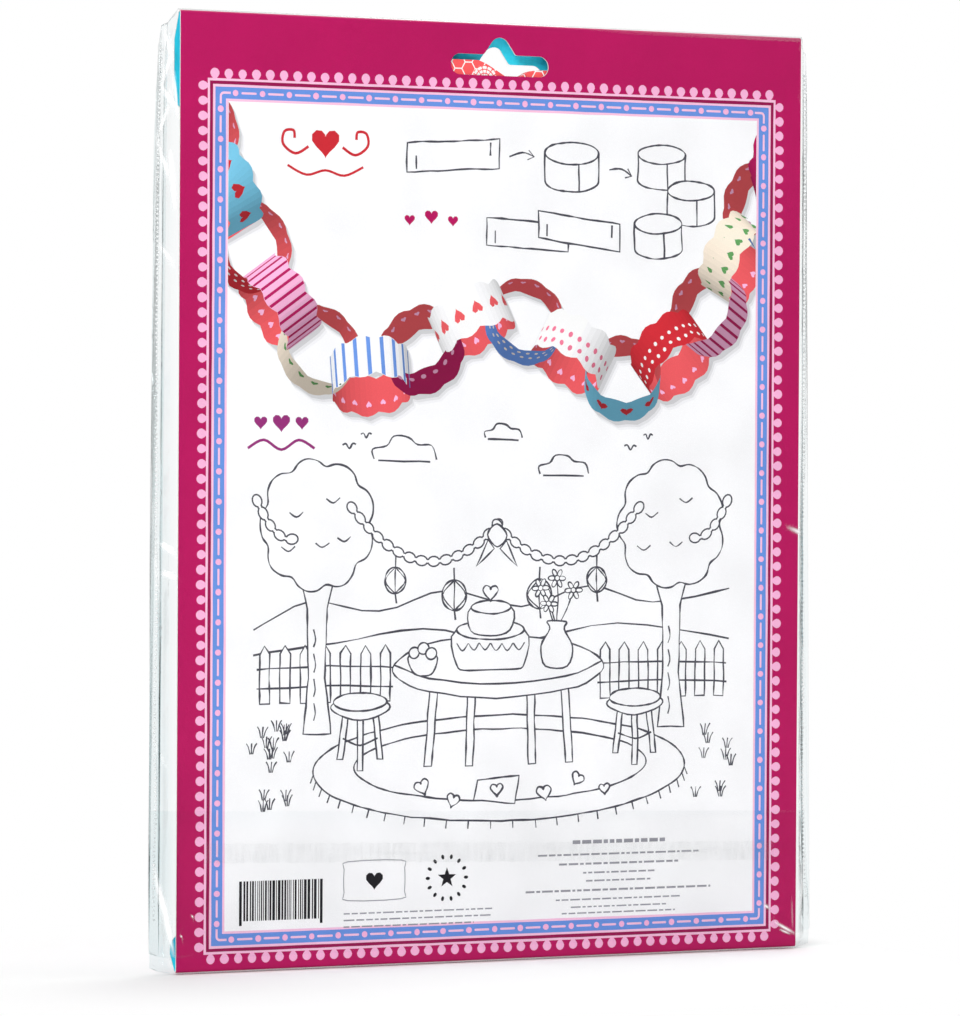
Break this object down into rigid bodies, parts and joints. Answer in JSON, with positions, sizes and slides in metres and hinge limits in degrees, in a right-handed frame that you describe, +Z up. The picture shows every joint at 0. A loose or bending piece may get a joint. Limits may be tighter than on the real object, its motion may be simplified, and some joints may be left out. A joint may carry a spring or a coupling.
{
  "type": "hanging retail pack of paper chain strip sheets",
  "caption": "Flat pack of punch-out paper chain sheets: a printed card folded round die-cut sheets in a clear film bag with a hang slot.",
  "frame": {"origin": "the point of the hang slot that a hook's prong carries: on the pack's middle line, half way through the folded card's depth, at the top edge of the lower of the two slots", "axes": "+Z up as the pack hangs, -Y out of the printed back panel, +X to the right of someone who looks at that panel"},
  "size_m": [0.2145, 0.0061, 0.2738],
  "materials": {
    "printed_board": "offset-printed board, satin outside in magenta, pink, blue and white, teal inside",
    "strip_stock": "printed card stock, matt, white cut edges",
    "clear_film": "clear glossy film with light wrinkles",
    "adhesive": "clear adhesive stripe"
  },
  "bodies": {
    "root": {"cover_card": "printed_board", "strip_sheet_1": "strip_stock", "strip_sheet_2": "strip_stock", "strip_sheet_3": "strip_stock", "strip_sheet_4": "strip_stock", "strip_sheet_5": "strip_stock", "strip_sheet_6": "strip_stock", "film_bag": "clear_film", "flap_adhesive": "adhesive"}
  },
  "joints": []
}
